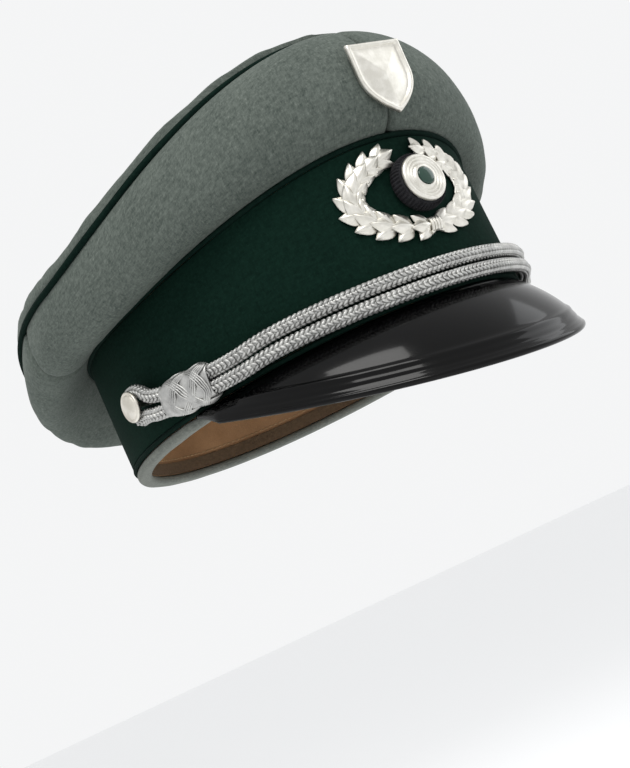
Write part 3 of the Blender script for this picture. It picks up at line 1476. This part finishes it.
@dataclass
class Wreath:
    """An open laurel wreath with berries and a bound foot, bent to the band."""

    half_width: float = 34.0
    low: float = 18.5
    high: float = 59.0
    stations: int = 10
    leaf_reach: float = 6.8
    leaf_step: float = 2.5
    leaf_fan: float = 40.0
    berry_radius: float = 0.78
    berry_from_stem: float = 3.6
    stem_radius: float = 0.85
    stem_steps: int = 24
    binding_turns: int = 4
    binding_pitch: float = 1.35
    binding_radius: float = 0.62

    def branch(self, side: int, t: float) -> tuple[float, float, float]:
        """Point of a branch's stem and the way it grows, t from 0 at the foot to 1 at the tip."""
        middle = (self.low + self.high) / 2
        angle = math.radians(-90 + side * (6 + t * 148))
        wide = self.half_width - self.leaf_reach
        tall = (self.high - self.low) / 2 - 4.6
        x, z = wide * math.cos(angle), middle + tall * math.sin(angle)
        heading = math.atan2(tall * math.cos(angle) * side, -wide * math.sin(angle) * side)
        return x, z, heading

    def leaves(self, recipe: Recipe) -> bpy.types.Object:
        """Both branches' leaves, laid flat and then bent."""
        places, turns, sizes = [], [], []
        for side in (1, -1):
            for i in range(self.stations):
                t = i / (self.stations - 1)
                x, z, heading = self.branch(side, t)
                size = 1.05 + 0.28 * math.sin(math.pi * (0.15 + 0.75 * t))
                for side_way, out, lean in ((1, 1.0, 0.12), (-1, 1.0, 0.12), (0, 1.9, 0.2)):
                    way = heading + math.radians(side_way * self.leaf_fan)
                    reach = self.leaf_step * size
                    places.append((x + math.cos(way) * reach, z + math.sin(way) * reach, out + 0.25))
                    turns.append((0.0, -lean, way))
                    sizes.append(size * (0.92 if side_way else 1.0))
        return recipe.run(turned_points("wreath_leaves", places, turns, sizes), BADGE_METAL.material())

    def berries(self, recipe: Recipe) -> bpy.types.Object:
        """Small round fruit between the leaves."""
        places = []
        for side in (1, -1):
            for i in range(self.stations - 1):
                x, z, heading = self.branch(side, (i + 0.55) / (self.stations - 1))
                for way in (1, -1):
                    turn = heading + way * math.pi / 2
                    out = self.berry_from_stem
                    places.append((x + math.cos(turn) * out, z + math.sin(turn) * out, 1.5))
        piece = turned_points("wreath_berries", places, [(0.0, 0.0, 0.0)] * len(places), [1.0] * len(places))
        radius = self.berry_radius * MM
        return recipe.run(piece, BADGE_METAL.material(), Length=radius, Width=radius, Height=radius)

    def stems(self, recipe: Recipe) -> list[bpy.types.Object]:
        """The stems under the leaves and the binding at the foot."""
        made = []
        for side in (1, -1):
            line = [(-side * 3.2, self.branch(side, 0.0)[1] - 3.1, 1.2)]
            for i in range(self.stem_steps + 1):
                line.append((*self.branch(side, i / self.stem_steps)[:2], 0.95))
            made.append(recipe.run(path_piece("wreath_stem", line), BADGE_METAL.material(),
                                   Radius=self.stem_radius * MM, Step=1.0 * MM, Sides=8.0))
        foot = self.branch(1, 0.0)[1]
        for turn in range(self.binding_turns):
            x = (turn - (self.binding_turns - 1) / 2) * self.binding_pitch
            line = [(x + 0.25 * math.cos(a), foot + 2.5 * math.cos(a), 1.35 + 1.25 * math.sin(a))
                    for a in (math.radians(d) for d in range(-20, 201, 20))]
            made.append(recipe.run(path_piece("wreath_binding", line), BADGE_METAL.material(),
                                   Radius=self.binding_radius * MM, Step=0.7 * MM, Sides=8.0))
        return made

    def build(self, leaf: Recipe, berry: Recipe, piping: Recipe) -> bpy.types.Object:
        """Makes the wreath."""
        piece = merged("laurel_wreath", [self.leaves(leaf), self.berries(berry), *self.stems(piping)])
        for vertex in piece.data.vertices:
            x, z, out = (c / MM for c in vertex.co)
            bent = FORM.wrapped(x, z, max(0.2, out))
            vertex.co = tuple(c * MM for c in bent)
        face_outwards(piece)
        piece.data.shade_smooth()
        return fitted(piece, "cap", "badge_metal", "wreath")


@dataclass
class Cockade:
    """Pleated cloth pad, a turned metal boss and its enamelled centre."""

    z: float = 40.0
    pleat_ring: float = 10.6
    boss: float = 9.6
    centre: float = 3.6
    pleats: int = 46

    def frame(self) -> Matrix:
        """A frame on the front of the band cloth, z forwards."""
        return frame_at(Vector((0, -FORM.half_length, self.z)), Vector((0, -1, 0)), Vector((0, 0, 1)))

    def build(self, pleat: Recipe) -> None:
        """Makes the cockade."""
        base = lathe_piece("pad_base", [(0.05, 0.25), (9.4, 0.25), (10.8, 0.6), (11.0, 2.5), (10.8, 4.6),
                                        (10.0, 5.7), (8.0, 6.1), (0.05, 6.1)], self.frame(), PAD_CLOTH)
        places, turns = [], []
        around = self.pleat_ring
        for i in range(self.pleats):
            a = 2 * math.pi * i / self.pleats
            places.append((around * math.cos(a), -FORM.half_length - 3.1, self.z + around * math.sin(a)))
            turns.append((0.0, -a, 0.0))
        folds = turned_points("pad_pleats", places, turns, [1.0] * self.pleats)
        folds = pleat.run(folds, PAD_CLOTH.material(), Length=1.0 * MM, Width=2.9 * MM, Height=0.6 * MM)
        fitted(merged("cockade_pleated_pad", [base, folds]), "cap", "pad_cloth", "cockade_pad")
        grooves = [(0.05, 6.2), (self.boss - 0.3, 6.2), (self.boss, 6.45), (self.boss, 7.3),
                   (self.boss - 0.25, 7.8), (self.boss - 0.8, 8.05)]
        for ring in (self.boss - 1.6, self.boss - 2.9, self.boss - 4.2):
            grooves += [(ring + 0.4, 8.1), (ring + 0.15, 7.65), (ring - 0.15, 7.65), (ring - 0.4, 8.2)]
        centre = self.centre
        grooves += [(centre + 0.9, 8.5), (centre + 0.45, 8.65), (centre + 0.1, 8.5), (centre + 0.05, 8.2),
                    (0.05, 8.2)]
        fitted(lathe_piece("cockade_turned_boss", grooves, self.frame(), BADGE_METAL), "cap", "badge_metal",
               "cockade_boss")
        drop = [(0.05, 8.25), (centre - 0.05, 8.25), (centre - 0.1, 8.7)] + [
            ((centre - 0.15) * math.cos(a), 8.75 + 0.65 * math.sin(a))
            for a in (math.radians(d) for d in range(8, 88, 10))]
        fitted(lathe_piece("cockade_enamel_drop", drop + [(0.05, 9.4)], self.frame(), ENAMEL), "cap",
               "enamel", "cockade_centre")


@dataclass
class CrownBadge:
    """A plain heater shield with a raised border and a softly domed field."""

    half_width: float = 13.0
    top: float = 13.0
    tip: float = -16.0
    place: float = 0.34
    stand_off: float = 0.5

    def outline(self) -> list[tuple[float, float]]:
        """The shield's edge."""
        w, curve = self.half_width, []
        for i in range(19):
            t = i / 18
            curve.append(((1 - t) ** 2 * w + 2 * t * (1 - t) * w, 2 * t * (1 - t) * -9.0 + t * t * self.tip))
        straight = [(w, self.top * (1 - i / 8)) for i in range(9)]
        half = [(w * i / 10, self.top) for i in range(10)] + straight + curve[1:]
        return half + [(-x, z) for x, z in half[-2:0:-1]]

    def build(self) -> bpy.types.Object:
        """Makes the badge."""
        _, _, n_out, n_up = FORM.side(0, self.place)
        out, up = Vector((0, -n_out, n_up)), Vector((0, n_up, n_out))
        place = Vector(FORM.on_side(0, self.place, self.stand_off))
        rows = []
        levels = [(0.97, 0.0), (1.0, 0.3), (1.0, 1.6), (0.985, 2.1), (0.95, 2.35), (0.905, 2.3), (0.87, 1.9),
                  (0.855, 1.35), (0.83, 1.2)]
        levels += [(0.83 * (1 - i / 12), 1.2 + 1.25 * math.sin(math.pi / 2 * i / 12) ** 1.2)
                   for i in range(1, 12)]
        for scale, height in levels + [(0.02, 2.5)]:
            rows.append([tuple(place + Vector((x * scale, 0, 0)) + up * (z * scale) + out * height)
                         for x, z in self.outline()])
        piece = grid_piece("plain_shield_badge", rows, wrap_u=True, caps=True, finish=BADGE_METAL)
        return fitted(piece, "cap", "badge_metal", "crown_badge")


@dataclass
class Studio:
    """Pale floor, soft lights and the camera."""

    azimuth: float = -37.06
    elevation: float = -13.71
    roll: float = -24.88
    distance: float = 600.0
    target: Point = (0.0, 0.0, 50.0)
    aim_right: float = 18.1
    aim_down: float = 45.4
    lens: float = 64.1
    floor_z: float = -420.0
    floor_half: float = 60000.0
    pale: Colour = (0.91, 0.915, 0.92)

    def camera(self) -> None:
        """A camera below the peak's edge, looking up at the cap's front and right."""
        az, el, roll = (math.radians(a) for a in (self.azimuth, self.elevation, self.roll))
        back = Vector((math.sin(az) * math.cos(el), -math.cos(az) * math.cos(el), math.sin(el)))
        right = Vector((math.cos(az), math.sin(az), 0))
        up = back.cross(right)
        turned_right = right * math.cos(roll) + up * math.sin(roll)
        turned_up = up * math.cos(roll) - right * math.sin(roll)
        target = Vector(self.target)
        place = target + back * self.distance
        aim = target + turned_right * self.aim_right - turned_up * self.aim_down
        z = (place - aim).normalized()
        x = turned_up.cross(z).normalized()
        turn = Matrix((x, z.cross(x), z)).transposed().to_4x4()
        data = bpy.data.cameras.new("camera")
        data.lens = self.lens
        data.sensor_width = 36.0
        data.clip_start = 0.01
        camera = bpy.data.objects.new("camera", data)
        camera.matrix_world = Matrix.Translation(place * MM) @ turn
        bpy.context.scene.collection.objects.link(camera)
        bpy.context.scene.camera = camera

    def light(self, name: str, place: Point, size: float, power: float, tint: Colour = (1, 1, 1)) -> None:
        """A square soft light that faces the cap."""
        data = bpy.data.lights.new(name, "AREA")
        data.size = size * MM
        data.energy = power
        data.color = tint
        lamp = bpy.data.objects.new(name, data)
        lamp.location = Vector(place) * MM
        lamp.rotation_euler = (Vector((0, 0, 40)) - Vector(place)).to_track_quat("-Z", "Y").to_euler()
        bpy.context.scene.collection.objects.link(lamp)

    def build(self) -> None:
        """Sets the stage."""
        bpy.context.scene.view_settings.view_transform = "Standard"
        self.camera()
        self.light("key", (-500, -700, 1200), 700, 13, (1.0, 0.99, 0.97))
        self.light("fill", (1200, -500, 500), 900, 4, (0.96, 0.98, 1.0))
        self.light("rear", (200, 1300, 900), 900, 5)
        world = bpy.data.worlds.new("pale room")
        world.use_nodes = True
        shade = world.node_tree.nodes["Background"]
        shade.inputs["Color"].default_value = (*self.pale, 1.0)
        shade.inputs["Strength"].default_value = 1.0
        bpy.context.scene.world = world
        half = self.floor_half
        mesh = bpy.data.meshes.new("floor")
        mesh.from_pydata([(x * half * MM, y * half * MM, self.floor_z * MM)
                          for x, y in ((-1, -1), (1, -1), (1, 1), (-1, 1))], [], [(0, 1, 2, 3)])
        floor = new_piece("floor", mesh)
        paint = bpy.data.materials.new("floor_paint")
        paint.use_nodes = True
        shader = paint.node_tree.nodes["Principled BSDF"]
        shader.inputs["Base Color"].default_value = (*self.pale, 1.0)
        shader.inputs["Roughness"].default_value = 0.9
        mesh.materials.append(paint)


CAD_FINISHES = {
    "band_stiffener": BUCKRAM, "sweatband_tape": TAPE, "sweat_shield": CLEAR_SHEET, "front_pad": WADDING,
    "crown_spring_wire": SPRING_STEEL, "front_stay": SPRING_STEEL, "spring_wire_sleeve": BRASS,
    "wreath_prongs": BRASS, "crown_badge_prongs": BRASS, "cockade_prong": BRASS,
    "side_button_washer_right": BRASS, "side_button_washer_left": BRASS,
}


def dress_cad_nodes(nodes: dict[str, bpy.types.Object]) -> None:
    """Gives the CAD nodes that stay their finishes."""
    for name, finish in CAD_FINISHES.items():
        node = nodes[name]
        if not node.material_slots:
            node.data.materials.append(finish.material())
        for slot in node.material_slots:
            slot.material = finish.material()
        LOG.info("%s: finished as %s", name, finish.name)


def main() -> None:
    """Builds every piece round the frame, in order."""
    logging.basicConfig(level=logging.INFO, format="%(name)s: %(message)s")
    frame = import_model()
    Studio().build()
    dress_cad_nodes(frame["nodes"])
    piping, stitches, braid = piping_recipe(), stitch_recipe(), braid_recipe()
    pleats, leaves = pleat_recipe(), leaf_recipe()
    ChinCord().build(braid, piping)
    Crown().build(piping)
    Band().build(piping)
    Inside().build(stitches)
    Peak().build()
    for side, word in ((-1, "right"), (1, "left")):
        SideButton().build(side, word)
    Wreath().build(leaves, pleats, piping)
    Cockade().build(pleats)
    CrownBadge().build()


if __name__ == "__main__":
    main()
